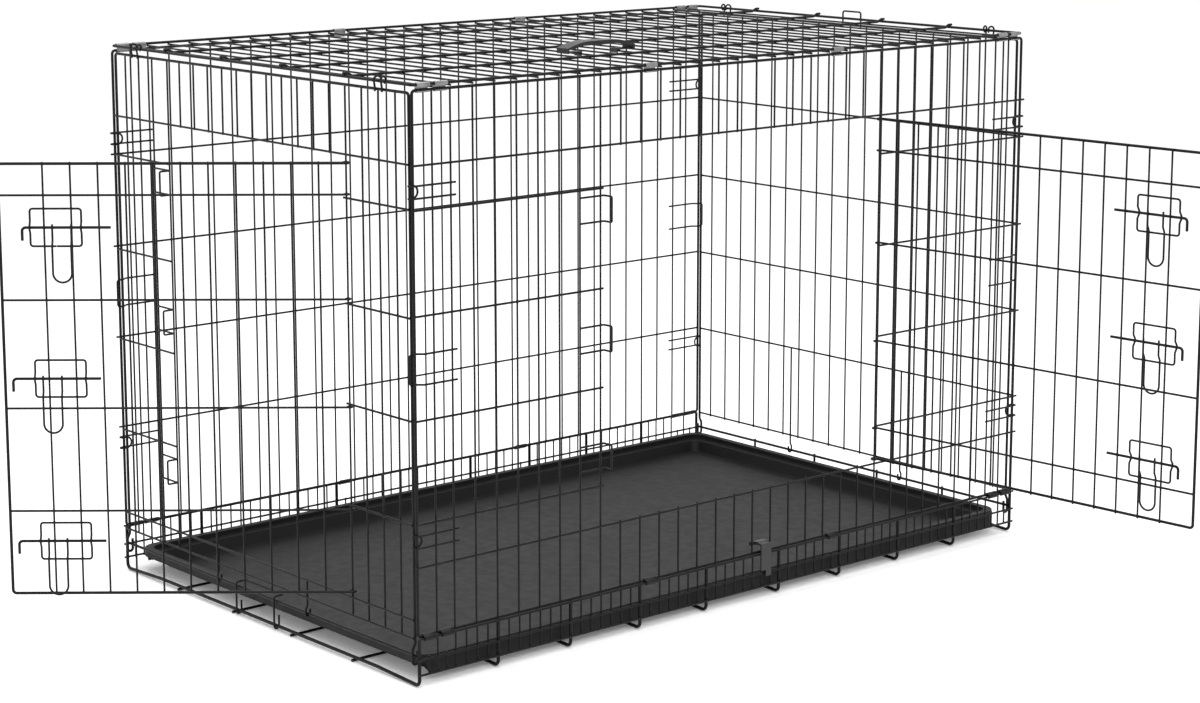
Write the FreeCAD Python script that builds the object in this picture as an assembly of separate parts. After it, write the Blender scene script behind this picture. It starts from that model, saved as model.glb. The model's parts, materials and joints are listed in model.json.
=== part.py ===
"""Folding wire dog crate with two doors, a slide-in tray and wire bolts.

Millimetres. X runs along the length, Y from front to back, Z up from the ground. It is
modelled from its front left corner and saved with its origin under its middle.
Both doors stand open, which is every joint's zero. Wires are separate round rods that
lap and touch where they are welded.
"""
import FreeCAD
import Part
import math
import os

Vec = FreeCAD.Vector

# ---------------------------------------------------------------- driving sizes
LENGTH = 1220.0          # end panel plane to end panel plane
WIDTH = 760.0            # front panel plane to back panel plane
PANEL_BOTTOM = 72.0      # height of the long panels' lower frame wire
PANEL_TOP = 818.5        # height of the long panels' upper frame wire
END_PANEL_DROP = 3.5     # upper frame wires of the end panels, below those

MESH = 2.8               # wire diameters: upright mesh wires
RAIL = 3.2               # level mesh wires
FRAME = 4.2              # panel and door frames
BASE_WIRE = 5.0          # end frames and ribs of the base
FLOOR_WIRE = 4.0         # long wires under the ribs
SKIRT_WIRE = 2.6         # short uprights of the skirts
ROOF_WIRE = 4.0          # long wires of the roof
LATCH_WIRE = 3.0         # guides, handles, strikers and hooks
BOLT_WIRE = 4.0          # the sliding bolts

FIT = 0.2                # clearance of a wire curled round another
SEAT = 0.02              # room left between wires that are welded together
CORNER_BEND = 5.0        # bend radius of the panel and door frames
TIP = 5.0                # what a level wire stands out past its frame
CUT_TIP = 1.0            # what a wire cut at a doorway stands out past its last weld
ROOF_TIP = 3.0           # long roof wires' ends, out past the middle of the end wires

# Front panel and its large doorway
END_GAP = 31.0           # frame side to the first upright, at each end
FRAME_PAST = 1.0         # long panels' frame sides, out past the end panel planes
FRONT_CELLS = 29         # spaces between the first and the last evenly spaced upright
FRONT_HINGE_CELL = 22    # the uprights, counted from the left, that bound the doorway
FRONT_STRIKE_CELL = 7
FRONT_SILL = 170.0
FRONT_HEADER = 719.0
FRONT_STUBS = (230.0, 373.0, 516.0, 659.0)   # level wires cut by the doorway

# Back panel and right end panel
PLAIN_RAILS = (230.0, 373.0, 516.0, 659.0)

# Left end panel and its small doorway
END_PANEL_INSET = 8.0    # end panels' frame sides, in from the long panels
END_PANEL_GAP = 29.0     # frame side to the first upright
END_CELLS = 18
END_BOTTOM = 69.0        # lowest level wire of the left panel
END_SILL = 95.0
END_HEADER = 720.0
END_STUBS = (228.0, 372.0, 513.0, 660.0)
END_HINGE_CELL = 3
END_STRIKE_CELL = 15
END_STRIKE_BACK = 4.3    # strike wire, short of the upright's place it takes
RIGHT_BOTTOM = 70.0      # lowest level wire of the right panel
CURL_OFFSET = 116.0      # left panel's bottom curls, each side of the middle
RIGHT_CURL_CELLS = 3.5   # right panel's, in spaces between uprights
CURL_TAIL = 7.0          # upturned tip of a curl, above the rail it turns round
LOOP_DROP = 8.0          # how far the frame sides' loops let an end panel be lifted
TOP_HOOK_OFFSET = 310.0  # pairs of top hooks, each side of the panel's middle
TOP_HOOK_SPACING = 16.0
LIFT_LOOP_WIDTH = 42.0
LIFT_LOOP_RISE = 12.0

# Doors
FRONT_OVERLAP = 12.5     # how far a door's free edge stands past the strike wire
END_OVERLAP = 20.5
FRONT_DOOR_OPEN = 94.0   # degrees open as it stands
END_DOOR_OPEN = 50.0
FRONT_DOOR_GAP = 6.5     # between the front door's frame and its header and sill
END_DOOR_ABOVE_SILL = 8.0
END_DOOR_BELOW_HEADER = 12.0
FRONT_DOOR_RAILS = (226.0, 365.0, 520.0, 664.0)
END_DOOR_RAILS = (221.0, 367.0, 519.0, 664.5)
DOOR_PITCH = 37.6
DOOR_TIP = 2.0           # door wires stand out past the frame

# Bolts. Guides are placed from a door's free edge, and bolts from their guides.
FRONT_BOLTS = (261.0, 433.0, 618.0)
END_BOLTS = (178.0, 409.0, 620.0)
FRONT_BOLT_OUT = (47.0, 47.0, 47.0)   # each bolt's tip, past its guide's middle
END_BOLT_OUT = (65.5, 65.5, 46.0)
BOLT_LENGTH = 121.0
BOLT_DROP = 18.0         # the bent-down tip
BOLT_BEND = 5.0
FRONT_GUIDE_BACK = 74.4  # middle of a guide, back from the door's free edge
END_GUIDE_BACK = 76.5
GUIDE_LENGTH = 70.0
GUIDE_HEIGHT = 52.0
GUIDE_BEND = 4.0
GUIDE_RAMP_BENDS = (2.0, 1.5, 1.5, 2.0)
HANDLE_SET_BACK = 54.7   # middle of the handle, back from the tip
HANDLE_WIDTH = 25.8
HANDLE_DROP = 75.0
HANDLE_RISE = 5.0        # the legs' ends stand out above the bolt
HANDLE_JOG = 4.0
STRIKER_BELOW = 6.0      # lower leg, below the bolt
STRIKER_ABOVE = 30.5
STRIKER_REACH = 17.0     # how far the staple stands out
STRIKER_IN = 4.0         # staple, inside the doorway past the strike wire
STRIKER_BEND = 2.5

# Hooks at the four upright corners: lower and upper height of each
CORNER_HOOKS = ((197.0, 214.0), (675.0, 692.0))
CORNER_LOOP = (422.0, 464.0)
HOOK_WELD = 68.0         # how far along the long panels the hooks reach
HOOK_EYE = 10.0          # how far a hook's eye reaches back inside the long panel
LOOP_PAST = 6.5          # how far the middle loop stands out past the corner
LOOP_KNEE = 13.0         # where the loop's legs turn in behind the panel's frame
LOOP_SLANT = 9.0
HOOK_BEND = 4.0

# Roof
ROOF_ABOVE = 7.5         # roof frame above the long panels' upper wire
ROOF_LONG_WIRES = 4

# Base
SKIRT_OUT = 5.2          # skirt rails, out from the long panels
SKIRT_TOP = 69.5
SKIRT_MIDDLE = 40.0
SKIRT_LOW = 18.5
RIBS = 4                 # on each side of the middle
RIB_START = 4            # half spaces of the mesh, from its first even one to the first rib
RIB_STEP = 7             # half spaces between ribs
BASE_BEND = 8.0
FOOT_RUN = 100.0         # the ground wires drop to their corners over this length
END_RAIL_Z = 44.0
FLOOR_WIRE_STUB = 4.0    # past the left end frame
CLIP_LENGTH = 21.6
CLIP_SHEET = 0.9
CLIP_CELL = 9            # even space, from each end, that holds a middle clip

# Tray
TRAY_GAP = 12.0          # tray edge, in from the panel planes
TRAY_TOP = 38.2
TRAY_WALL = 2.0
TRAY_RIM = 12.0
TRAY_LIP = 13.0          # how far the rim is turned down
TRAY_LEDGE_DROP = 8.0
TRAY_LEDGE = 13.0
TRAY_SLOPE = 5.0
TRAY_CORNER = 27.0
GROUND_GAP = 0.2         # tray's underside above the ribs

# Tray gate
GATE_FROM = 345.0
GATE_TO = 444.0
GATE_TOP = 51.0
GATE_REACH = 17.0
GATE_TAIL = 15.0

# Carry handle
STRAP_START = 11         # even spaces of the mesh before the first cross wire it grips
STRAP_SPAN = 2           # even spaces between the two
STRAP_OVERHANG = 28.6    # past each of them
STRAP_WIDTH = 26.0
STRAP_THICK = 3.0
STRAP_FOLD = 8.0         # height of its folded ends
STRAP_RISE = 9.0         # crest above the folded ends
STRAP_TONGUE_WIDTH = 16.0
STRAP_GRIP = 2.2         # thickness of the tongues and of the claws round the wires

# Fold clip
CLIP_MIDDLE = 650.5
CLIP_BODY_WIDTH = 21.0
CLIP_BODY_THICK = 2.6
CLIP_REACH = 44.0        # pivot to the inside of the arm
CLIP_HOOK_IN = 22.0      # how far the arm reaches inside the panel
CLIP_CLAW_THICK = 2.2

# ---------------------------------------------------------------- derived sizes
PITCH = (LENGTH - 2 * (2 * END_GAP)) / FRONT_CELLS
ROOF_Z = PANEL_TOP + ROOF_ABOVE
END_PANEL_TOP = PANEL_TOP - END_PANEL_DROP
HINGE_X = 2 * END_GAP + FRONT_HINGE_CELL * PITCH
STRIKE_X = 2 * END_GAP + FRONT_STRIKE_CELL * PITCH
UPRIGHT_OUT = (FRAME - MESH) / 2                      # uprights, outward of the frame's middle
RAIL_OUT = FRAME / 2 + RAIL / 2 + SEAT                # level wires, outward of the frame's middle
STUB_END = MESH / 2 + CUT_TIP                             # a cut level wire, past its last upright
GROUND_WIRE_Z = FLOOR_WIRE + BASE_WIRE / 2 + SEAT     # end frames and ribs lie on the floor wires
BASE_SIDE = SKIRT_OUT - RAIL / 2 - BASE_WIRE / 2 - SEAT   # end frames and ribs, inside the rails
SKIRT_WIRE_OUT = SKIRT_OUT - RAIL / 2 - SKIRT_WIRE / 2 - SEAT
SKIRT_HIGH = PANEL_BOTTOM - FRAME / 2 - FIT           # skirt uprights end under the panels
END_PITCH = (WIDTH - 2 * END_PANEL_INSET - 2 * END_PANEL_GAP) / END_CELLS
END_HINGE_Y = END_PANEL_INSET + END_PANEL_GAP + END_HINGE_CELL * END_PITCH
END_DOORWAY = (END_STRIKE_CELL - END_HINGE_CELL) * END_PITCH - END_STRIKE_BACK
END_STRIKE_Y = END_HINGE_Y + END_DOORWAY
FRONT_DOOR_WIDTH = HINGE_X - STRIKE_X + FRONT_OVERLAP
END_DOOR_WIDTH = END_DOORWAY + END_OVERLAP
DOOR_FRAME_OUT = MESH / 2 + FIT + FRAME / 2           # door frame, outward of the hinge wire
DOOR_RAIL_OUT = MESH / 2 + FIT + RAIL / 2
DOOR_WIRE_OUT = DOOR_RAIL_OUT - RAIL / 2 - MESH / 2 - SEAT
GUIDE_OUT = DOOR_WIRE_OUT + MESH / 2 + LATCH_WIRE / 2 + SEAT
BOLT_OUT = DOOR_WIRE_OUT + MESH / 2 + FIT + BOLT_WIRE / 2
KEEPER_OUT = BOLT_OUT + BOLT_WIRE / 2 + FIT + LATCH_WIRE / 2
HANDLE_OUT = BOLT_OUT + BOLT_WIRE / 2 + LATCH_WIRE / 2 + SEAT


# ---------------------------------------------------------------- wire making
def rod(start, end, diameter):
    """Straight round wire between two points."""
    run = Vec(*end) - Vec(*start)
    return Part.makeCylinder(diameter / 2, run.Length, Vec(*start), run)


def bent(points, diameter, bends):
    """Round wire along straight runs joined by tangent arcs.

    bends is one radius for every corner, or a list with a radius for each."""
    corners = [Vec(*p) for p in points]
    if isinstance(bends, (int, float)):
        bends = [bends] * (len(corners) - 2)
    edges = []
    here = corners[0]
    for before, corner, after, bend in zip(corners, corners[1:], corners[2:], bends):
        back = (before - corner).normalize()
        on = (after - corner).normalize()
        half_turn = (math.pi - back.getAngle(on)) / 2
        reach = bend * math.tan(half_turn)
        arc_start = corner + back * reach
        arc_end = corner + on * reach
        middle = (back + on).normalize()
        crest = corner + middle * (bend / math.cos(half_turn) - bend)
        if (arc_start - here).Length > 1e-6:
            edges.append(Part.makeLine(here, arc_start))
        edges.append(Part.Arc(arc_start, crest, arc_end).toShape())
        here = arc_end
    if (corners[-1] - here).Length > 1e-6:
        edges.append(Part.makeLine(here, corners[-1]))
    return sweep(edges, diameter)


def sweep(edges, diameter):
    """Round wire along edges that meet end to end."""
    path = Part.Wire(edges)
    start = edges[0].valueAt(edges[0].FirstParameter)
    tangent = edges[0].tangentAt(edges[0].FirstParameter)
    circle = Part.makeCircle(diameter / 2, start, tangent)
    solid = path.makePipeShell([Part.Wire([circle])], True, True)
    if solid.Volume < 0:
        solid.reverse()
    return solid


def closed_loop(first, second, third, fourth, diameter, bend):
    """Closed rectangular frame with rounded corners, from its four corners in order."""
    middle = tuple((a + b) / 2 for a, b in zip(first, second))
    return bent([middle, second, third, fourth, first, middle], diameter, bend)


def band(first, second, radius, sheet, x0, x1):
    """Sheet-metal sleeve along X round two level wires."""
    def outline(r):
        a, b = Vec(x0, *first), Vec(x0, *second)
        along = (b - a).normalize()
        side = Vec(1, 0, 0).cross(along)
        edges = [Part.makeLine(a + side * r, b + side * r),
                 Part.Arc(b + side * r, b + along * r, b - side * r).toShape(),
                 Part.makeLine(b - side * r, a - side * r),
                 Part.Arc(a - side * r, a - along * r, a + side * r).toShape()]
        return Part.Face(Part.Wire(edges))

    length = Vec(x1 - x0, 0, 0)
    outer = outline(radius + sheet).extrude(length)
    return outer.cut(outline(radius).extrude(length))


def move(solids, matrix):
    """Copies of solids, placed by a matrix."""
    out = []
    for solid in solids:
        copy = solid.copy()
        copy.transformShape(matrix)
        out.append(copy)
    return out


def turn_about_z(degrees, x, y):
    """Matrix that turns about the world's Z and then shifts to (x, y)."""
    matrix = FreeCAD.Matrix()
    matrix.rotateZ(math.radians(degrees))
    matrix.move(Vec(x, y, 0))
    return matrix


def mirror_y(solids):
    """The same solids on the other long side."""
    return [s.mirror(Vec(0, WIDTH / 2, 0), Vec(0, 1, 0)) for s in solids]


def mirror_x(solids):
    """The same solids at the other end."""
    return [s.mirror(Vec(LENGTH / 2, 0, 0), Vec(1, 0, 0)) for s in solids]


os.makedirs("parts", exist_ok=True)


def save(node, solids):
    """Writes one node, a solid or a group of separate solids, about the crate's middle."""
    for solid in solids:
        if not solid.isValid() or solid.Volume <= 0:
            raise ValueError(node + " has a bad solid")
    shape = solids[0].copy() if len(solids) == 1 else Part.makeCompound(solids)
    shape.translate(Vec(-LENGTH / 2, -WIDTH / 2, 0))
    shape.exportStep("parts/" + node + ".step")


# ---------------------------------------------------------------- base
def end_frame(x):
    """U-shaped ground wire with its two short uprights, its corners down on the ground."""
    y0, y1 = -BASE_SIDE, WIDTH + BASE_SIDE
    foot = BASE_WIRE / 2
    points = [(x, y0, SKIRT_HIGH), (x, y0, foot), (x, y0 + FOOT_RUN, GROUND_WIRE_Z),
              (x, y1 - FOOT_RUN, GROUND_WIRE_Z), (x, y1, foot), (x, y1, SKIRT_HIGH)]
    return bent(points, BASE_WIRE, BASE_BEND)


# The skirts' uprights stand at every half space of the long panels' mesh.
skirt_places = [END_GAP * k / 2 for k in range(1, 4)]
skirt_places += [2 * END_GAP + PITCH * k / 2 for k in range(2 * FRONT_CELLS + 1)]
skirt_places += [LENGTH - END_GAP * k / 2 for k in range(3, 0, -1)]
rib_places = [2 * END_GAP + (RIB_START + RIB_STEP * k) * PITCH / 2 for k in range(RIBS)]
rib_places += [LENGTH - x for x in rib_places[::-1]]
save("base_end_frames", [end_frame(0), end_frame(LENGTH)])
save("base_cross_ribs", [end_frame(x) for x in rib_places])

rail_reach = BASE_SIDE - BASE_WIRE / 2 - SEAT
save("base_end_rails", [rod((x, -rail_reach, END_RAIL_Z), (x, WIDTH + rail_reach, END_RAIL_Z), FRAME)
                        for x in (0, LENGTH)])

stop_x = LENGTH + BASE_WIRE / 2 + FLOOR_WIRE / 2 + SEAT
floor_places = [WIDTH * k / (ROOF_LONG_WIRES + 1) for k in range(1, ROOF_LONG_WIRES + 1)]
save("base_floor_wires", [
    bent([(-FLOOR_WIRE_STUB, y, FLOOR_WIRE / 2), (stop_x, y, FLOOR_WIRE / 2),
          (stop_x, y, END_RAIL_Z + FRAME / 2)], FLOOR_WIRE, FLOOR_WIRE)
    for y in floor_places])

# Sheet-metal clips sit in the spaces between the long panels' uprights.
uprights = [END_GAP] + [2 * END_GAP + k * PITCH for k in range(FRONT_CELLS + 1)] + [LENGTH - END_GAP]

clip_places = [(CORNER_BEND - FRAME_PAST + END_GAP - MESH / 2) / 2, 1.5 * END_GAP,
               2 * END_GAP + (CLIP_CELL + 0.5) * PITCH]
clip_places += [LENGTH - place for place in clip_places]


def near_clip(x):
    """True where a skirt upright would run into a clip."""
    room = CLIP_LENGTH / 2 + SKIRT_WIRE / 2 + FIT
    return any(abs(x - place) < room for place in clip_places)


skirt_rails = [rod((-TIP / 2, -SKIRT_OUT, z), (LENGTH + TIP / 2, -SKIRT_OUT, z), RAIL)
               for z in (SKIRT_LOW, SKIRT_MIDDLE, SKIRT_TOP)]
skirt_wires = []
for x in skirt_places:
    if any(abs(x - rib) < BASE_WIRE for rib in rib_places):
        continue
    top = SKIRT_MIDDLE + RAIL if near_clip(x) else SKIRT_HIGH
    skirt_wires.append(rod((x, -SKIRT_WIRE_OUT, SKIRT_LOW - RAIL / 2),
                           (x, -SKIRT_WIRE_OUT, top), SKIRT_WIRE))
save("front_skirt_rails", skirt_rails)
save("front_skirt_wires", skirt_wires)
save("rear_skirt_rails", mirror_y(skirt_rails))
save("rear_skirt_wires", mirror_y(skirt_wires))

# ---------------------------------------------------------------- long panels
side_x0, side_x1 = -FRAME_PAST, LENGTH + FRAME_PAST
long_frame = closed_loop((side_x0, 0, PANEL_BOTTOM), (side_x1, 0, PANEL_BOTTOM),
                         (side_x1, 0, PANEL_TOP), (side_x0, 0, PANEL_TOP), FRAME, CORNER_BEND)
save("front_panel_frame", [long_frame])
save("back_panel_frame", mirror_y([long_frame]))

upright_low = PANEL_BOTTOM + FRAME / 2 + SEAT
upright_high = PANEL_TOP - FRAME / 2 - SEAT


def upright(x, low, high):
    """Mesh wire of a front panel."""
    return rod((x, -UPRIGHT_OUT, low), (x, -UPRIGHT_OUT, high), MESH)


def level(x0, x1, z):
    """Level wire on the outside of a front panel."""
    return rod((x0, -RAIL_OUT, z), (x1, -RAIL_OUT, z), RAIL)


rail_from = side_x0 - TIP
rail_to = side_x1 + TIP
front_rails = [level(rail_from, rail_to, z) for z in (FRONT_SILL, FRONT_HEADER)]
for z in FRONT_STUBS:
    front_rails.append(level(rail_from, STRIKE_X + STUB_END, z))
    front_rails.append(level(HINGE_X - STUB_END, rail_to, z))
front_wires = []
for x in uprights:
    if STRIKE_X + MESH < x < HINGE_X - MESH:
        front_wires.append(upright(x, upright_low, FRONT_SILL + RAIL / 2 + CUT_TIP))
        front_wires.append(upright(x, FRONT_HEADER - RAIL / 2 - CUT_TIP, upright_high))
    else:
        front_wires.append(upright(x, upright_low, upright_high))
save("front_panel_rails", front_rails)
save("front_panel_wires", front_wires)
save("back_panel_rails", mirror_y([level(rail_from, rail_to, z) for z in PLAIN_RAILS]))
save("back_panel_wires", mirror_y([upright(x, upright_low, upright_high) for x in uprights]))

# ---------------------------------------------------------------- roof
cross_z = ROOF_Z - FRAME / 2 - MESH / 2 - SEAT
save("roof_frame_rails", [closed_loop((0, 0, ROOF_Z), (LENGTH, 0, ROOF_Z), (LENGTH, WIDTH, ROOF_Z),
                                      (0, WIDTH, ROOF_Z), FRAME, CORNER_BEND)])
long_z = cross_z + MESH / 2 + ROOF_WIRE / 2 + SEAT
over_z = ROOF_Z + FRAME / 2 + ROOF_WIRE / 2 + SEAT
save("roof_long_wires", [
    bent([(-ROOF_TIP, y, over_z), (FRAME, y, over_z), (3 * FRAME, y, long_z),
          (LENGTH - 3 * FRAME, y, long_z), (LENGTH - FRAME, y, over_z),
          (LENGTH + ROOF_TIP, y, over_z)], ROOF_WIRE, ROOF_WIRE)
    for y in floor_places])
save("roof_cross_wires", [rod((x, -FRAME / 2, cross_z), (x, WIDTH + FRAME / 2, cross_z), MESH)
                          for x in uprights])

# ---------------------------------------------------------------- hinge clips
# An upper clip is curled over the roof's wire, runs down inside the panel and is hooked
# under the panel's wire, so its outer side is open between the two.
upper_clips = []
lower_clips = []
clip_radius = FRAME / 2 + FIT
mouth_low = PANEL_TOP - FRAME / 4
mouth_high = ROOF_Z - clip_radius
for x in clip_places:
    span = (x - CLIP_LENGTH / 2, x + CLIP_LENGTH / 2)
    clip_mouth = Part.makeBox(CLIP_LENGTH, FRAME, mouth_high - mouth_low, Vec(span[0], -FRAME, mouth_low))
    upper_clips.append(band((0, PANEL_TOP), (0, ROOF_Z), clip_radius, CLIP_SHEET, *span).cut(clip_mouth))
    lower_clips.append(band((0, PANEL_BOTTOM), (-SKIRT_OUT, SKIRT_TOP), clip_radius, CLIP_SHEET, *span))
save("upper_hinge_clips", upper_clips + mirror_y(upper_clips))
save("lower_hinge_clips", lower_clips + mirror_y(lower_clips))


# ---------------------------------------------------------------- end panels
# An end panel is made at the left, in the plane x = 0, and mirrored for the right.
def end_upright(y, low, high):
    """Mesh wire of the left end panel."""
    return rod((-UPRIGHT_OUT, y, low), (-UPRIGHT_OUT, y, high), MESH)


def end_level(y0, y1, z):
    """Level wire on the outside of the left end panel."""
    return rod((-RAIL_OUT, y0, z), (-RAIL_OUT, y1, z), RAIL)


def end_panel_frame():
    """Frame wire whose two ends turn round the base's end rail in long loops."""
    side = FRAME + FIT
    low = END_RAIL_Z - FRAME / 2 - FIT - LOOP_DROP - FRAME / 2
    tip = END_RAIL_Z + CURL_TAIL
    y0, y1 = END_PANEL_INSET, WIDTH - END_PANEL_INSET
    neck = END_RAIL_Z + 4 * FRAME
    knee = END_RAIL_Z + 2 * FRAME

    def foot(y):
        return [(side, y, tip), (side, y, low), (-side, y, low), (-side, y, knee), (0, y, neck)]

    points = foot(y0) + [(0, y0, END_PANEL_TOP), (0, y1, END_PANEL_TOP)] + foot(y1)[::-1]
    return bent(points, FRAME, [side, side, 5, 5, CORNER_BEND, CORNER_BEND, 5, 5, side, side])


def bottom_curl(y, top):
    """J-shaped wire on the inside of the level wires, turned round the end rail."""
    shank = -RAIL_OUT + RAIL / 2 + LATCH_WIRE / 2 + SEAT
    side = FRAME / 2 + FIT + LATCH_WIRE / 2
    return bent([(shank, y, top), (shank, y, END_RAIL_Z + 4 * LATCH_WIRE),
                        (-side, y, END_RAIL_Z + 2 * LATCH_WIRE), (-side, y, END_RAIL_Z - side),
                        (side, y, END_RAIL_Z - side), (side, y, END_RAIL_Z + CURL_TAIL)],
                       LATCH_WIRE, [4, 4, side, side])


def top_hook(y):
    """Wire on the outside of the top rail, hooked over the end of the roof's frame."""
    side = FRAME / 2 + FIT + LATCH_WIRE / 2
    over = ROOF_Z + side
    return bent([(-side, y, END_PANEL_TOP - LATCH_WIRE), (-side, y, over), (side, y, over),
                 (side, y, ROOF_Z - LATCH_WIRE)], LATCH_WIRE, side)


middle_y = WIDTH / 2
panel_frame = end_panel_frame()
curls = [bottom_curl(middle_y + side * CURL_OFFSET, END_SILL + RAIL / 2) for side in (-1, 1)]
hooks = [top_hook(middle_y + side * TOP_HOOK_OFFSET + shift)
         for side in (-1, 1) for shift in (-TOP_HOOK_SPACING / 2, TOP_HOOK_SPACING / 2)]
end_y0, end_y1 = END_PANEL_INSET, WIDTH - END_PANEL_INSET
end_tip = FRAME / 2
end_high = END_PANEL_TOP - FRAME / 2 - SEAT
end_uprights = [end_y0 + END_PANEL_GAP + k * END_PITCH for k in range(END_CELLS + 1)]

save("left_panel_frame", [panel_frame])
save("left_panel_hinge_curls", curls)
save("left_panel_top_hooks", hooks)
left_rails = [end_level(end_y0 - end_tip, end_y1 + end_tip, z) for z in (END_BOTTOM, END_SILL, END_HEADER)]
for z in END_STUBS:
    left_rails.append(end_level(end_y0 - end_tip, END_HINGE_Y + STUB_END, z))
    left_rails.append(end_level(END_STRIKE_Y - STUB_END, end_y1 + end_tip, z))
save("left_panel_rails", left_rails)
left_wires = [end_upright(y, END_BOTTOM - RAIL / 2, end_high) for y in (END_HINGE_Y, END_STRIKE_Y)]
for y in end_uprights:
    if y < END_HINGE_Y - MESH or y > END_STRIKE_Y + END_PITCH / 2:
        left_wires.append(end_upright(y, END_BOTTOM - RAIL / 2, end_high))
    elif END_HINGE_Y + MESH < y < END_STRIKE_Y - END_PITCH / 2:
        left_wires.append(end_upright(y, END_HEADER - RAIL / 2 - CUT_TIP, end_high))
save("left_panel_wires", left_wires)

save("right_panel_frame", mirror_x([panel_frame]))
right_curl = RIGHT_CURL_CELLS * END_PITCH
save("right_panel_hinge_curls", mirror_x([bottom_curl(middle_y + side * right_curl, PLAIN_RAILS[0])
                                          for side in (-1, 1)]))
save("right_panel_top_hooks", mirror_x(hooks))
save("right_panel_rails", mirror_x([end_level(end_y0 - end_tip, end_y1 + end_tip, z)
                                    for z in (RIGHT_BOTTOM,) + PLAIN_RAILS]))
save("right_panel_wires", mirror_x([end_upright(y, RIGHT_BOTTOM - RAIL / 2, end_high)
                                    for y in end_uprights]))
loop_x = -(FRAME / 2 + FIT + LATCH_WIRE / 2)
loop_y0, loop_y1 = middle_y - LIFT_LOOP_WIDTH / 2, middle_y + LIFT_LOOP_WIDTH / 2
loop_foot = END_PANEL_TOP - 2 * LATCH_WIRE
loop_z = ROOF_Z + LIFT_LOOP_RISE
save("right_panel_lift_loop", mirror_x([
    bent([(loop_x, loop_y0, loop_foot), (loop_x, loop_y0, loop_z),
          (loop_x, loop_y1, loop_z), (loop_x, loop_y1, loop_foot)], LATCH_WIRE, HOOK_BEND)]))


# ---------------------------------------------------------------- corner hooks
hook_out = UPRIGHT_OUT + MESH / 2 + LATCH_WIRE / 2 + SEAT
hook_in = END_PANEL_INSET / 2        # half-way between the two panels' frame sides


def corner_hook(low, high):
    """Hook along the front panel, round its frame side and back to an eye inside it."""
    past = RAIL_OUT + RAIL / 2 + FIT + LATCH_WIRE / 2
    leg = [(HOOK_WELD, -hook_out), (-past, -hook_out), (-past, hook_in), (HOOK_EYE, hook_in)]
    points = [(x, y, low) for x, y in leg] + [(x, y, high) for x, y in leg[::-1]]
    wrap = (hook_out + hook_in) / 2
    eye = (high - low) / 2
    return bent(points, LATCH_WIRE, [wrap, wrap, eye, eye, wrap, wrap])


def corner_loop(low, high):
    """Loop whose legs turn in behind the front panel's frame side and out past the corner."""
    leg = [(HOOK_WELD, -hook_out), (LOOP_KNEE, -hook_out), (LOOP_KNEE - LOOP_SLANT, hook_in),
           (-LOOP_PAST, hook_in)]
    points = [(x, y, low) for x, y in leg] + [(x, y, high) for x, y in leg[::-1]]
    return bent(points, LATCH_WIRE, HOOK_BEND)


corner = [corner_hook(*heights) for heights in CORNER_HOOKS] + [corner_loop(*CORNER_LOOP)]
corners = corner + mirror_x(corner)
save("front_corner_hooks", corners)
save("rear_corner_hooks", mirror_y(corners))


# ---------------------------------------------------------------- strikers
# Strikers, doors, guides and bolts share one local frame: X along the closed door from
# its hinge wire, Y outward, Z up. door_place turns it to the panel or to the open door.
def striker(bolt_z, strike, next_upright):
    """Staple on the strike wire and the next upright, bent to stand outward."""
    out = MESH / 2 + LATCH_WIRE / 2 + SEAT
    low, high = bolt_z - STRIKER_BELOW, bolt_z + STRIKER_ABOVE
    inside = strike - STRIKER_IN
    points = [(next_upright + MESH / 2, out, low), (inside, out, low), (inside, out + STRIKER_REACH, low),
              (inside, out + STRIKER_REACH, high), (inside, out, high),
              (next_upright + MESH / 2, out, high)]
    return bent(points, LATCH_WIRE, STRIKER_BEND)


front_place = turn_about_z(180, HINGE_X, -UPRIGHT_OUT)
end_place = turn_about_z(90, -UPRIGHT_OUT, END_HINGE_Y)
front_strike = HINGE_X - STRIKE_X
end_next = END_DOORWAY + END_STRIKE_BACK + END_PITCH
save("front_panel_strikers",
     move([striker(z, front_strike, front_strike + PITCH) for z in FRONT_BOLTS], front_place))
save("left_panel_strikers",
     move([striker(z, END_DOORWAY, end_next) for z in END_BOLTS], end_place))


# ---------------------------------------------------------------- doors
def curled(far, z, diameter, out):
    """Level door wire whose near end is curled round the hinge wire."""
    return bent([(far, out, z), (-out, out, z), (-out, -out, z), (out, -out, z), (out, 0, z)],
                diameter, out)


def door_frame(width, low, high):
    """Door frame: top, free edge and bottom in one wire, both ends curled."""
    out = DOOR_FRAME_OUT

    def curl(z):
        return [(out, 0, z), (out, -out, z), (-out, -out, z), (-out, out, z)]

    points = curl(low) + [(width, out, low), (width, out, high)] + curl(high)[::-1]
    bends = [out] * 3 + [CORNER_BEND] * 2 + [out] * 3
    return bent(points, FRAME, bends)


def guide(centre, z):
    """Rounded wire rectangle whose ends step outward over the bolt."""
    x0, x1 = centre - GUIDE_LENGTH / 2, centre + GUIDE_LENGTH / 2
    low, high = z - GUIDE_HEIGHT / 2, z + GUIDE_HEIGHT / 2
    step = BOLT_WIRE
    ramp = step + KEEPER_OUT - GUIDE_OUT

    def side(x):
        return [(x, GUIDE_OUT, z - ramp), (x, KEEPER_OUT, z - step / 2),
                (x, KEEPER_OUT, z + step / 2), (x, GUIDE_OUT, z + ramp)]

    points = [(centre, GUIDE_OUT, low), (x1, GUIDE_OUT, low)] + side(x1)
    points += [(x1, GUIDE_OUT, high), (x0, GUIDE_OUT, high)] + side(x0)[::-1]
    points += [(x0, GUIDE_OUT, low), (centre - LATCH_WIRE / 4, GUIDE_OUT, low)]
    ramp_bends = list(GUIDE_RAMP_BENDS)
    bends = [GUIDE_BEND] + ramp_bends + [GUIDE_BEND, GUIDE_BEND] + ramp_bends[::-1] + [GUIDE_BEND]
    return bent(points, LATCH_WIRE, bends)


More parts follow.
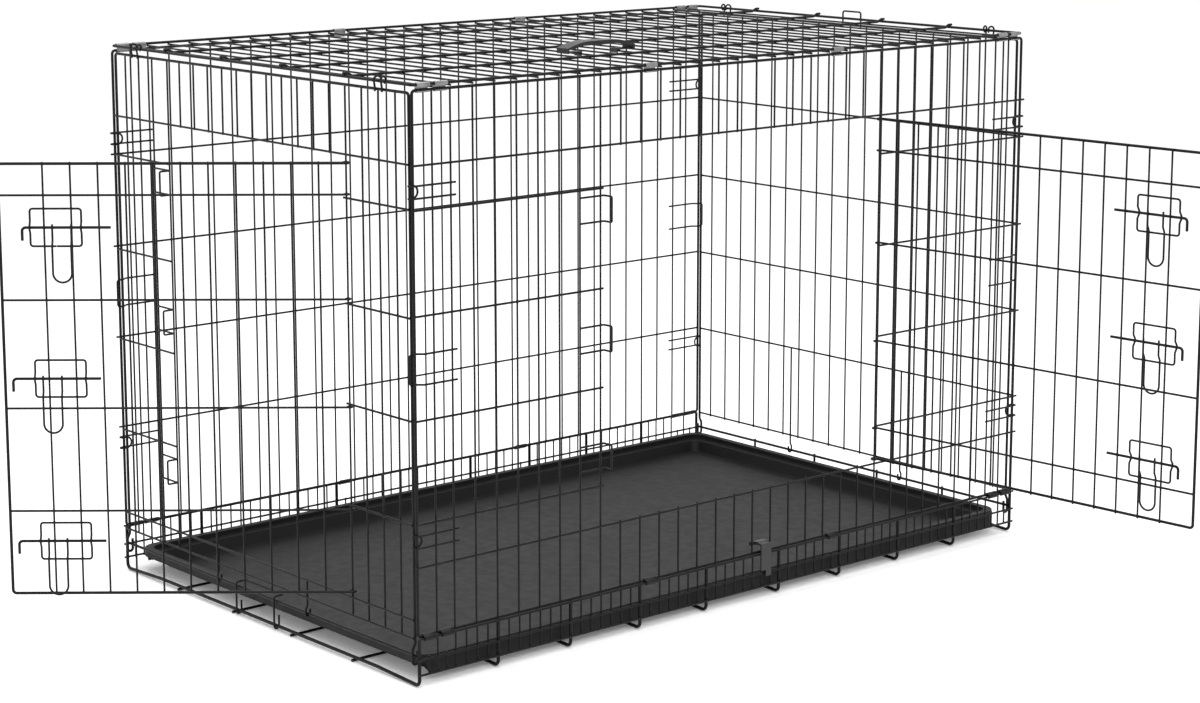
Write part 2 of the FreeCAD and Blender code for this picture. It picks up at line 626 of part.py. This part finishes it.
def bolt(tip, z):
    """Sliding rod with a bent-down tip, and the U-shaped handle welded to it."""
    shank = bent([(tip - BOLT_LENGTH, BOLT_OUT, z), (tip, BOLT_OUT, z), (tip, BOLT_OUT, z - BOLT_DROP)],
                 BOLT_WIRE, BOLT_BEND)
    x0 = tip - HANDLE_SET_BACK - HANDLE_WIDTH / 2
    x1 = tip - HANDLE_SET_BACK + HANDLE_WIDTH / 2
    far = HANDLE_OUT + HANDLE_JOG
    knee = z - GUIDE_HEIGHT / 2 + 3 * LATCH_WIRE

    def leg(x):
        return [(x, HANDLE_OUT, z + HANDLE_RISE), (x, HANDLE_OUT, knee), (x, far, knee - 2 * HANDLE_JOG)]

    foot = z - HANDLE_DROP
    points = leg(x0) + [(x0, far, foot), (x1, far, foot)] + leg(x1)[::-1]
    round_end = HANDLE_WIDTH / 2
    handle = bent(points, LATCH_WIRE, [3, 3, round_end, round_end, 3, 3])
    return [shank, handle]


def make_door(prefix, place, width, low, high, rails, bolts, bolt_out, guide_back):
    """Writes the nodes of one door and of its three bolts."""
    guide_middle = width - guide_back
    save(prefix + "_door_frame", move([door_frame(width, low, high)], place))
    reach = width - FRAME / 2 - SEAT
    save(prefix + "_door_rails", move([curled(reach, z, RAIL, DOOR_RAIL_OUT) for z in rails], place))
    wires = math.floor((guide_middle + GUIDE_LENGTH / 2) / DOOR_PITCH)
    places = [DOOR_PITCH * (k + 1) for k in range(wires)]
    door_wires = [rod((x, DOOR_WIRE_OUT, low - DOOR_TIP), (x, DOOR_WIRE_OUT, high + DOOR_TIP), MESH)
                  for x in places]
    save(prefix + "_door_wires", move(door_wires, place))
    save(prefix + "_door_latch_guides", move([guide(guide_middle, z) for z in bolts], place))
    for name, z, out in zip(("lower", "middle", "upper"), bolts, bolt_out):
        save(prefix + "_latch_bolt_" + name, move(bolt(guide_middle + out, z), place))


front_open = turn_about_z(180 + FRONT_DOOR_OPEN, HINGE_X, -UPRIGHT_OUT)
end_open = turn_about_z(90 + END_DOOR_OPEN, -UPRIGHT_OUT, END_HINGE_Y)
make_door("front", front_open, FRONT_DOOR_WIDTH, FRONT_SILL + FRONT_DOOR_GAP,
          FRONT_HEADER - FRONT_DOOR_GAP, FRONT_DOOR_RAILS, FRONT_BOLTS, FRONT_BOLT_OUT, FRONT_GUIDE_BACK)
make_door("end", end_open, END_DOOR_WIDTH, END_SILL + END_DOOR_ABOVE_SILL,
          END_HEADER - END_DOOR_BELOW_HEADER, END_DOOR_RAILS, END_BOLTS, END_BOLT_OUT, END_GUIDE_BACK)


# ---------------------------------------------------------------- tray
def rounded_plate(inset, low, high, corner_radius):
    """Level plate with rounded corners, set in from the tray's outer edge."""
    edge = TRAY_GAP + inset
    x0, x1, y0, y1 = edge, LENGTH - edge, edge, WIDTH - edge
    box = Part.makeBox(x1 - x0, y1 - y0, high - low, Vec(x0, y0, low))
    upright_edges = [e for e in box.Edges if abs(e.tangentAt(0).z) > 0.99]
    return box.makeFillet(corner_radius, upright_edges)


def tray_section(inset, z, corner_radius):
    """Rounded outline of the tray at one height."""
    plate = rounded_plate(inset, z - 1, z, corner_radius)
    top = max(plate.Faces, key=lambda face: face.CenterOfMass.z)
    return top.OuterWire


def tray():
    """Moulded pan: flat floor, sloped wall, ledge, wall, rim and turned-down lip."""
    bottom = GROUND_WIRE_Z + BASE_WIRE / 2 + GROUND_GAP
    ledge_z = TRAY_TOP - TRAY_LEDGE_DROP
    inner = TRAY_RIM + TRAY_LEDGE
    corner = TRAY_CORNER

    def solid(shift, low, top):
        floor = inner + TRAY_SLOPE + shift
        well = Part.makeLoft([tray_section(floor, low, corner - TRAY_RIM),
                              tray_section(inner + shift, ledge_z + shift, corner - TRAY_RIM)], True, True)
        step = rounded_plate(TRAY_RIM + shift, ledge_z + shift, top, corner - TRAY_RIM / 2)
        return well.fuse(step)

    pan = solid(-TRAY_WALL, bottom, TRAY_TOP)
    rim = rounded_plate(0, TRAY_TOP - TRAY_WALL, TRAY_TOP, corner)
    lip = rounded_plate(0, TRAY_TOP - TRAY_LIP, TRAY_TOP, corner).cut(
        rounded_plate(TRAY_WALL, TRAY_TOP - TRAY_LIP - 1, TRAY_TOP + 1, corner - TRAY_WALL))
    hollow = solid(0, bottom + TRAY_WALL, TRAY_TOP + TRAY_WALL)
    return pan.fuse([rim, lip]).cut(hollow).removeSplitter()


save("floor_tray", [s for s in tray().Solids])

# ---------------------------------------------------------------- tray gate
gate_side = BASE_WIRE / 2 + FIT + LATCH_WIRE / 2
gate_low = GROUND_WIRE_Z - gate_side
gate_tail = GROUND_WIRE_Z + GATE_TAIL


def gate_leg(y):
    """Leg that turns under the ground wire and rises outside the end rail."""
    return [(gate_side, y, gate_tail), (gate_side, y, gate_low), (-gate_side, y, gate_low),
            (-gate_side, y, GATE_TOP), (GATE_REACH - gate_side, y, GATE_TOP)]


gate_points = gate_leg(GATE_FROM) + gate_leg(GATE_TO)[::-1]
gate_bends = [gate_side, gate_side, 4, 4, 4, 4, gate_side, gate_side]
save("tray_gate", [bent(gate_points, LATCH_WIRE, gate_bends)])

# ---------------------------------------------------------------- carry handle
strap_y = (floor_places[0] + floor_places[1]) / 2
strap_from = 2 * END_GAP + STRAP_START * PITCH
strap_to = strap_from + STRAP_SPAN * PITCH
strap_low = cross_z + MESH / 2 + FIT


def strap():
    """Arched plastic strap whose ends fold back under and grip two cross wires."""
    t = STRAP_THICK
    x0 = strap_from - STRAP_OVERHANG
    x1 = strap_to + STRAP_OVERHANG
    shoulder = strap_low + STRAP_FOLD

    def arch(height, width, crest):
        a, b, c = Vec(x0, 0, strap_low), Vec((x0 + x1) / 2, 0, crest), Vec(x1, 0, strap_low)
        a_top, c_top = Vec(x0, 0, height), Vec(x1, 0, height)
        face = Part.Face(Part.Wire([Part.Arc(a_top, b, c_top).toShape(), Part.makeLine(c_top, c),
                                    Part.makeLine(c, a), Part.makeLine(a, a_top)]))
        return face.extrude(Vec(0, width, 0))

    body = arch(shoulder, STRAP_WIDTH, shoulder + STRAP_RISE)
    inner = arch(shoulder, STRAP_WIDTH, shoulder + STRAP_RISE)
    inner.translate(Vec(0, 0, -t))
    body = body.cut(inner)
    tongue_y = (STRAP_WIDTH - STRAP_TONGUE_WIDTH) / 2
    for end, way in ((x0, 1), (x1, -1)):
        near = end if way > 0 else end - t
        post = Part.makeBox(t, STRAP_WIDTH, shoulder - strap_low, Vec(near, 0, strap_low))
        wire_x = end + way * STRAP_OVERHANG
        tongue_end = wire_x + way * (MESH / 2 + STRAP_GRIP)
        tongue = Part.makeBox(abs(tongue_end - end), STRAP_TONGUE_WIDTH, STRAP_GRIP,
                              Vec(min(end, tongue_end), tongue_y, strap_low))
        grip_from, grip_way = Vec(wire_x, tongue_y, cross_z), Vec(0, 1, 0)
        grip = Part.makeCylinder(MESH / 2 + FIT + STRAP_GRIP, STRAP_TONGUE_WIDTH, grip_from, grip_way)
        mouth = Part.makeBox(MESH + STRAP_GRIP, STRAP_TONGUE_WIDTH, MESH + STRAP_GRIP,
                             Vec(wire_x - (MESH / 2 if way < 0 else MESH / 2 + STRAP_GRIP), tongue_y,
                                 cross_z - MESH - STRAP_GRIP - MESH / 4))
        hole = Part.makeCylinder(MESH / 2 + FIT, STRAP_TONGUE_WIDTH, grip_from, grip_way)
        body = body.fuse([post, tongue, grip]).cut(mouth).cut(hole)
    body = body.removeSplitter()
    body.translate(Vec(0, strap_y - STRAP_WIDTH / 2, 0))
    return body


save("carry_handle", strap().Solids)


# ---------------------------------------------------------------- fold clip
def fold_clip():
    """Plastic clip that pivots on the skirt's middle rail and hooks over the panel's lower wire."""
    pivot_y, pivot_z = -SKIRT_OUT, SKIRT_MIDDLE
    hole = RAIL / 2 + FIT
    thick = CLIP_BODY_THICK
    plate_y = -SKIRT_OUT - RAIL / 2 - 3 * FIT - thick
    claw_x = max(x for x in skirt_places if x < CLIP_MIDDLE) + SKIRT_WIRE / 2 + 3 * FIT
    claw_end = min(x for x in skirt_places if x > CLIP_MIDDLE) - SKIRT_WIRE / 2 - 3 * FIT
    x1 = min(CLIP_MIDDLE + CLIP_BODY_WIDTH / 2, claw_end)
    x0 = x1 - CLIP_BODY_WIDTH

    def tube(radius, start, end):
        return Part.makeCylinder(radius, end - start, Vec(start, pivot_y, pivot_z), Vec(1, 0, 0))

    claw_radius = hole + CLIP_CLAW_THICK
    lift = pivot_z + claw_radius + 3 * FIT
    top = pivot_z + CLIP_REACH + thick / 2
    plate = Part.makeBox(x1 - x0, thick, top - lift, Vec(x0, plate_y, lift))
    tail = Part.makeBox(x1 - claw_x, thick, lift - pivot_z + claw_radius + 1,
                        Vec(claw_x, plate_y, pivot_z - claw_radius - 1))
    claw = tube(claw_radius, claw_x, x1)
    web = Part.makeBox(x1 - claw_x, pivot_y - plate_y, 2 * claw_radius,
                       Vec(claw_x, plate_y, pivot_z - claw_radius))
    ring = tube(CLIP_REACH + thick, x0, x1).cut(tube(CLIP_REACH, x0, x1))
    tip = math.asin((CLIP_HOOK_IN - pivot_y) / CLIP_REACH)
    far = 2 * CLIP_REACH
    wedge = Part.Face(Part.makePolygon([
        Vec(x0, pivot_y, pivot_z), Vec(x0, plate_y, pivot_z), Vec(x0, plate_y, pivot_z + far),
        Vec(x0, pivot_y + far * math.sin(tip), pivot_z + far * math.cos(tip)), Vec(x0, pivot_y, pivot_z)]))
    arm = ring.common(wedge.extrude(Vec(x1 - x0, 0, 0)))
    body = plate.fuse([tail, claw, web, arm])
    return body.cut(tube(hole, x0 - 1, x1 + 1)).removeSplitter()


save("fold_clip", fold_clip().Solids)
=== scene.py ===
"""Wire dog crate: finishes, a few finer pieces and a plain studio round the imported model."""
import json
import math

import bmesh
import bpy
from mathutils import Matrix, Vector


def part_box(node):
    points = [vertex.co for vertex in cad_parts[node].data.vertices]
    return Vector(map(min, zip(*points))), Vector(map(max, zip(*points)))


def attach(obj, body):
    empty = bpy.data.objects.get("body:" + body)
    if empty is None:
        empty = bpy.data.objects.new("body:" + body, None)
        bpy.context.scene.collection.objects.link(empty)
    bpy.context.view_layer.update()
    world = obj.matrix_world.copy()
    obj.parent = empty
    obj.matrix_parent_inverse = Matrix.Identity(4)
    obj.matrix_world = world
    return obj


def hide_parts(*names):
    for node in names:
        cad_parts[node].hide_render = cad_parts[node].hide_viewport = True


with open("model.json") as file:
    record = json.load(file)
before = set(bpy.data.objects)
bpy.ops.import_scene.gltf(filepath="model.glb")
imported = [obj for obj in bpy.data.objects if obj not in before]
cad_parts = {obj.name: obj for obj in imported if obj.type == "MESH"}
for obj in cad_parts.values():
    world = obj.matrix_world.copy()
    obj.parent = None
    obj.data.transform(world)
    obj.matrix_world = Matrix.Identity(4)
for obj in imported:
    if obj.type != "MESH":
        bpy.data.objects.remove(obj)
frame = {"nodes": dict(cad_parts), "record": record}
nodes = frame["nodes"]
motion = frame["record"]["behaviour"]
body_of = {node: body for body, names in motion["bodies"].items() for node in names}
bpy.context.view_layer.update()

# Points nearer than this are one point, in metres.
SAME_POINT = 1e-6


# ------------------------------------------------------------------ coated wire
# Panels, roof, base and doors are cold-drawn steel wire, resistance welded and then dipped
# in black electrocoat: thin and smooth, with a slight gloss and a faint orange peel.
NOISE_LOW = 0.35
NOISE_HIGH = 0.65


def shader(name):
    """A new material, its node tree and its main shader."""
    material = bpy.data.materials.new(name)
    material.use_nodes = True
    tree = material.node_tree
    return material, tree, tree.nodes["Principled BSDF"]


def noise(tree, scale, detail=2.0):
    """Noise on the piece's own coordinates."""
    coordinates = tree.nodes.new("ShaderNodeTexCoord")
    texture = tree.nodes.new("ShaderNodeTexNoise")
    texture.inputs["Scale"].default_value = scale
    texture.inputs["Detail"].default_value = detail
    tree.links.new(coordinates.outputs["Object"], texture.inputs["Vector"])
    return texture


def spread(tree, texture, socket, low, high):
    """Drives a socket with a texture, whose middle values are mapped from low to high."""
    mapping = tree.nodes.new("ShaderNodeMapRange")
    mapping.inputs["From Min"].default_value = NOISE_LOW
    mapping.inputs["From Max"].default_value = NOISE_HIGH
    mapping.inputs["To Min"].default_value = low
    mapping.inputs["To Max"].default_value = high
    tree.links.new(texture.outputs["Fac"], mapping.inputs["Value"])
    tree.links.new(mapping.outputs["Result"], socket)


def blend_colours(tree, texture, main, dark, light):
    """Base colour that drifts between two close shades."""
    ramp = tree.nodes.new("ShaderNodeValToRGB")
    ramp.color_ramp.elements[0].position = 0.3
    ramp.color_ramp.elements[0].color = (*dark, 1)
    ramp.color_ramp.elements[1].position = 0.7
    ramp.color_ramp.elements[1].color = (*light, 1)
    tree.links.new(texture.outputs["Fac"], ramp.inputs["Fac"])
    tree.links.new(ramp.outputs["Color"], main.inputs["Base Color"])


def relief(tree, texture, main, strength, distance):
    """Bump from a texture."""
    bump = tree.nodes.new("ShaderNodeBump")
    bump.inputs["Strength"].default_value = strength
    bump.inputs["Distance"].default_value = distance
    tree.links.new(texture.outputs["Fac"], bump.inputs["Height"])
    tree.links.new(bump.outputs["Normal"], main.inputs["Normal"])


def electrocoat(name, roughness, dark, light):
    """Black electrocoat over drawn steel."""
    material, tree, main = shader(name)
    main.inputs["Specular IOR Level"].default_value = 0.14
    main.inputs["Coat Weight"].default_value = 0.04
    main.inputs["Coat Roughness"].default_value = 0.15
    blend_colours(tree, noise(tree, 35.0), main, dark, light)
    spread(tree, noise(tree, 220.0), main.inputs["Roughness"], roughness - 0.06, roughness + 0.08)
    relief(tree, noise(tree, 900.0), main, 0.12, 0.0002)
    return material


def paint(names, material):
    """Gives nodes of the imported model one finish."""
    for name in names:
        slots = nodes[name].data.materials
        slots.clear()
        slots.append(material)


wire_coat = electrocoat("wire_coat", 0.34, (0.003, 0.003, 0.0035), (0.008, 0.008, 0.009))
paint(nodes, wire_coat)

# ------------------------------------------------------------------ bolts, guides, strikers
# The sliding bolts, the guides welded on the doors and the staples that catch the bolts
# are 4 and 3 mm wire under the same coat, a little smoother and glossier than the panels.
latch_coat = electrocoat("latch_coat", 0.28, (0.004, 0.004, 0.0045), (0.010, 0.010, 0.011))
paint([name for name in nodes if "latch" in name or "striker" in name], latch_coat)

# ------------------------------------------------------------------ hinge sleeves
# Short sleeves of 0.9 mm strip, curled round two wires. The lower ones are coated black
# like the base; the upper ones are left in satin zinc.
strip_coat = electrocoat("strip_coat", 0.30, (0.005, 0.005, 0.0055), (0.012, 0.012, 0.013))
paint(["lower_hinge_clips"], strip_coat)

strip_zinc, zinc_tree, zinc_main = shader("strip_zinc")
zinc_main.inputs["Metallic"].default_value = 1.0
blend_colours(zinc_tree, noise(zinc_tree, 60.0), zinc_main, (0.20, 0.20, 0.20), (0.34, 0.34, 0.35))
spread(zinc_tree, noise(zinc_tree, 180.0), zinc_main.inputs["Roughness"], 0.30, 0.46)
relief(zinc_tree, noise(zinc_tree, 700.0), zinc_main, 0.15, 0.0002)
paint(["upper_hinge_clips"], strip_zinc)

# ------------------------------------------------------------------ top hooks
# Each end panel is held up by two pairs of pigtail hooks: 3 mm wire welded to the panel's
# upper wire, taken up outside the roof's end wire and curled over it, open underneath.
HOOK_RADIUS = 0.0015
HOOK_SIDES = 14
HOOK_RISE = Vector((0, 0, 0.0060))
HOOK_LEAN = Vector((-0.0016, 0, 0.0094))
RING_RADIUS = 0.0052
RING_TURN = math.radians(235)
RING_STEPS = 22
RING_ADVANCE = 0.0040
PAIR_HALF = 0.0080

hooks_low, hooks_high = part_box("left_panel_top_hooks")
hook_foot = Vector((hooks_low.x + HOOK_RADIUS, 0, hooks_low.z))
ring_centre = hook_foot + HOOK_RISE + HOOK_LEAN + Vector((RING_RADIUS, 0, 0))
pair_middle = hooks_high.y - HOOK_RADIUS - PAIR_HALF


def pushed(shape, face, by):
    """Lengthens a bar: extrudes its end face and moves it on."""
    grown = bmesh.ops.extrude_face_region(shape, geom=[face])["geom"]
    points = [part for part in grown if isinstance(part, bmesh.types.BMVert)]
    bmesh.ops.translate(shape, vec=by, verts=points)
    return next(part for part in grown if isinstance(part, bmesh.types.BMFace))


def add_hook(shape, y, way):
    """One pigtail hook, whose ring runs sideways by a little more than its thickness."""
    across = Vector((0, y, 0))
    foot = bmesh.ops.create_circle(shape, cap_ends=True, segments=HOOK_SIDES, radius=HOOK_RADIUS,
                                   matrix=Matrix.Translation(hook_foot + across))
    end = foot["verts"][0].link_faces[0]
    end = pushed(shape, end, HOOK_RISE)
    end = pushed(shape, end, HOOK_LEAN)
    bmesh.ops.spin(shape, geom=[end], cent=ring_centre + across, axis=(0, 1, 0), angle=RING_TURN,
                   steps=RING_STEPS, dvec=(0, way * RING_ADVANCE / RING_STEPS, 0))


def finished(name, shape, node, material):
    """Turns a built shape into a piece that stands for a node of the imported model."""
    bmesh.ops.remove_doubles(shape, verts=shape.verts, dist=SAME_POINT)
    bmesh.ops.recalc_face_normals(shape, faces=shape.faces)
    for face in shape.faces:
        face.smooth = True
    mesh = bpy.data.meshes.new(name)
    shape.to_mesh(mesh)
    shape.free()
    mesh.materials.append(material)
    piece = bpy.data.objects.new(name, mesh)
    bpy.context.scene.collection.objects.link(piece)
    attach(piece, body_of[node])
    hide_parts(node)
    return piece


for side, node in ((1, "left_panel_top_hooks"), (-1, "right_panel_top_hooks")):
    hooks = bmesh.new()
    for middle in (-pair_middle, pair_middle):
        for way in (-1, 1):
            add_hook(hooks, middle - way * PAIR_HALF, way)
    bmesh.ops.scale(hooks, vec=(side, 1, 1), verts=hooks.verts)
    finished(node.replace("panel_top", "pigtail"), hooks, node, wire_coat)

# ------------------------------------------------------------------ floor tray
# One moulded pan of black plastic, satin with a fine grain, with a stepped wall and a rim
# turned down on all four sides, deeper along the front and back. Its edges are rounded.
TRAY_EDGE = 0.0008
LIP_DEPTH = 0.0130
LIP_DEEPER = 0.0135
LIP_SHEET = 0.0020
FLAT_WITHIN = math.radians(2)
SHARP_ABOVE = math.radians(35)
ROUNDING_STEPS = 3


def moulded(name, grain, roughness, specular, dark, light):
    """Satin black plastic with a fine moulded grain."""
    material, tree, main = shader(name)
    main.inputs["Specular IOR Level"].default_value = specular
    blend_colours(tree, noise(tree, 9.0, 4.0), main, dark, light)
    spread(tree, noise(tree, 60.0), main.inputs["Roughness"], roughness - 0.03, roughness + 0.04)
    relief(tree, noise(tree, grain, 3.0), main, 0.35, 0.0003)
    return material


def solid_of(node):
    """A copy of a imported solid, merged and with its flat faces whole."""
    shape = bmesh.new()
    shape.from_mesh(nodes[node].data)
    bmesh.ops.remove_doubles(shape, verts=shape.verts, dist=SAME_POINT)
    bmesh.ops.dissolve_limit(shape, angle_limit=FLAT_WITHIN, verts=shape.verts, edges=shape.edges)
    return shape


def rounded(piece, radius):
    """Rounds a piece's sharp edges."""
    rounding = piece.modifiers.new("rounding", "BEVEL")
    rounding.width = radius
    rounding.segments = ROUNDING_STEPS
    rounding.limit_method = "ANGLE"
    rounding.angle_limit = SHARP_ABOVE
    rounding.use_clamp_overlap = True
    shading = piece.modifiers.new("shading", "WEIGHTED_NORMAL")
    shading.keep_sharp = True


tray_plastic = moulded("tray_plastic", 1100.0, 0.52, 0.2,
                       (0.006, 0.006, 0.0065), (0.008, 0.008, 0.0088))
tray_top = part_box("floor_tray")[1]
pan = solid_of("floor_tray")
lip = [point for point in pan.verts
       if abs(tray_top.z - LIP_DEPTH - point.co.z) < TRAY_EDGE
       and abs(point.co.y) > tray_top.y - LIP_SHEET - TRAY_EDGE]
bmesh.ops.translate(pan, vec=(0, 0, -LIP_DEEPER), verts=lip)
rounded(finished("moulded_tray", pan, "floor_tray", tray_plastic), TRAY_EDGE)

# ------------------------------------------------------------------ carry strap
# A moulded strap on the roof, arched for a hand and nearly level at the top, with its
# ends folded back under and clipped on two roof wires. It is thickest along the arch.
STRAP_EDGE = 0.0009
STRAP_ARCH = 0.0090
STRAP_THICK = 0.0030
STRAP_THICKER = 0.0024
STRAP_FLAT = 0.30
STRAP_SHOULDER = 0.94

small_plastic = moulded("small_plastic", 1600.0, 0.38, 0.5,
                        (0.006, 0.006, 0.0065), (0.010, 0.010, 0.011))
strap_low, strap_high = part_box("carry_handle")
strap_middle = (strap_low.x + strap_high.x) / 2
strap_half = (strap_high.x - strap_low.x) / 2
strap = solid_of("carry_handle")
for point in strap.verts:
    along = abs(point.co.x - strap_middle) / strap_half
    depth = strap_high.z - STRAP_ARCH * along * along - point.co.z
    if along < STRAP_SHOULDER and depth < STRAP_THICK + STRAP_EDGE:
        slope = max(0, along - STRAP_FLAT) / (STRAP_SHOULDER - STRAP_FLAT)
        rise = STRAP_ARCH * (along * along - (STRAP_SHOULDER * slope) ** 2)
        lower = STRAP_THICKER if depth > STRAP_THICK / 2 else 0
        point.co.z = min(point.co.z + rise, strap_high.z) - lower
rounded(finished("moulded_strap", strap, "carry_handle", small_plastic), STRAP_EDGE)

# ------------------------------------------------------------------ fold clip
# A moulded clip that turns on the skirt's middle rail. Its arm is a thick claw over the
# panel's lower wire, and it holds the folded panels together.
CLIP_EDGE = 0.0006
ARM_INSIDE = 0.0440
ARM_BASE = 0.0420
ARM_REACH = 0.76
ARM_RAISE = 0.0026
RAISED_AFTER = math.radians(8)

clip_joint = next(joint for joint in motion["joints"] if joint["child"] == "fold_clip")
clip_pivot = Vector(clip_joint["pos_m"])
clip = solid_of("fold_clip")
for point in clip.verts:
    arm = point.co - clip_pivot
    length = math.hypot(arm.y, arm.z)
    lean = math.atan2(arm.y, arm.z)
    if length > ARM_BASE and lean > 0:
        lean *= ARM_REACH
        if length > ARM_INSIDE + CLIP_EDGE:
            length += ARM_RAISE * min(1, lean / RAISED_AFTER)
        point.co.y = clip_pivot.y + length * math.sin(lean)
        point.co.z = clip_pivot.z + length * math.cos(lean)
rounded(finished("moulded_clip", clip, "fold_clip", small_plastic), CLIP_EDGE)

# ------------------------------------------------------------------ floor and backdrop
# A white floor in an even white room. Seen directly both are white, and the floor keeps
# the crate's soft shadow.
ROOM_LIGHT = 0.9
FLOOR_HALF = 30.0
FLOOR_DROP = 0.0005
FLOOR_GLOW = 0.12
WHITE = (1, 1, 1, 1)
PALE = (0.8, 0.8, 0.8, 1)


def seen_directly(tree):
    """1 for camera, glossy and transmission rays, otherwise 0."""
    path = tree.nodes.new("ShaderNodeLightPath")
    total = path.outputs["Is Camera Ray"]
    for ray in ("Is Glossy Ray", "Is Transmission Ray"):
        either = tree.nodes.new("ShaderNodeMath")
        either.operation = "MAXIMUM"
        tree.links.new(total, either.inputs[0])
        tree.links.new(path.outputs[ray], either.inputs[1])
        total = either.outputs["Value"]
    return total


floor_mesh = bpy.data.meshes.new("floor")
floor_shape = bmesh.new()
bmesh.ops.create_grid(floor_shape, x_segments=1, y_segments=1, size=FLOOR_HALF,
                      matrix=Matrix.Translation((0, 0, -FLOOR_DROP)))
floor_shape.to_mesh(floor_mesh)
floor_shape.free()
floor = bpy.data.objects.new("floor", floor_mesh)
bpy.context.scene.collection.objects.link(floor)

floor_material, floor_tree, floor_main = shader("floor_white")
floor_main.inputs["Roughness"].default_value = 0.9
floor_main.inputs["Specular IOR Level"].default_value = 0.0
floor_tint = floor_tree.nodes.new("ShaderNodeMixRGB")
floor_tree.links.new(seen_directly(floor_tree), floor_tint.inputs["Fac"])
floor_tint.inputs["Color1"].default_value = PALE
floor_tint.inputs["Color2"].default_value = WHITE
floor_tree.links.new(floor_tint.outputs["Color"], floor_main.inputs["Base Color"])
floor_glow = floor_tree.nodes.new("ShaderNodeMath")
floor_glow.operation = "MULTIPLY"
floor_tree.links.new(seen_directly(floor_tree), floor_glow.inputs[0])
floor_glow.inputs[1].default_value = FLOOR_GLOW
floor_main.inputs["Emission Color"].default_value = WHITE
floor_tree.links.new(floor_glow.outputs["Value"], floor_main.inputs["Emission Strength"])
floor_mesh.materials.append(floor_material)

world = bpy.data.worlds.new("studio")
bpy.context.scene.world = world
world.use_nodes = True
world_tree = world.node_tree
room = world_tree.nodes["Background"]
room.inputs["Color"].default_value = WHITE
room.inputs["Strength"].default_value = ROOM_LIGHT
white = world_tree.nodes.new("ShaderNodeBackground")
white.inputs["Color"].default_value = WHITE
white.inputs["Strength"].default_value = 1.0
world_mix = world_tree.nodes.new("ShaderNodeMixShader")
world_tree.links.new(seen_directly(world_tree), world_mix.inputs["Fac"])
world_tree.links.new(room.outputs["Background"], world_mix.inputs[1])
world_tree.links.new(white.outputs["Background"], world_mix.inputs[2])
world_tree.links.new(world_mix.outputs["Shader"], world_tree.nodes["World Output"].inputs["Surface"])

# ------------------------------------------------------------------ lamps
# Two large soft boxes, in front and overhead.
LAMP_TARGET = Vector((0, 0, 0.3))


def soft_box(name, place, size, power):
    """Square lamp that looks at the crate's middle."""
    lamp = bpy.data.lights.new(name, "AREA")
    lamp.size = size
    lamp.energy = power
    lamp_object = bpy.data.objects.new(name, lamp)
    lamp_object.location = place
    aim = LAMP_TARGET - Vector(place)
    lamp_object.rotation_euler = aim.to_track_quat("-Z", "Y").to_euler()
    bpy.context.scene.collection.objects.link(lamp_object)


soft_box("key", (-2.2, -2.4, 3.4), 2.0, 60)
soft_box("top", (0.4, 0.6, 3.6), 2.6, 50)

# ------------------------------------------------------------------ camera
# A long lens at the height of a standing person's chest, turned toward the near corner.
SENSOR_MM = 36.0
LENS_MM = 80.778
LENS_SHIFT = -0.08
HEADING = math.radians(40.789)
TILT = math.radians(-9.62)
ROLL = math.radians(-0.011)
NEAR_CORNER = Vector((-0.610, -0.380, 0.0))
FROM_CORNER = Vector((-2.1171, -2.8318, 1.1967))

camera_data = bpy.data.cameras.new("camera")
camera_data.sensor_width = SENSOR_MM
camera_data.lens = LENS_MM
camera_data.shift_y = LENS_SHIFT
camera_data.clip_end = 100.0
camera = bpy.data.objects.new("camera", camera_data)
bpy.context.scene.collection.objects.link(camera)
bpy.context.scene.camera = camera
ahead = Vector((math.sin(HEADING) * math.cos(TILT), math.cos(HEADING) * math.cos(TILT), math.sin(TILT)))
turn = ahead.to_track_quat("-Z", "Y").to_matrix().to_4x4() @ Matrix.Rotation(ROLL, 4, "Z")
camera.matrix_world = Matrix.Translation(NEAR_CORNER + FROM_CORNER) @ turn

bpy.context.scene.view_settings.view_transform = "Standard"
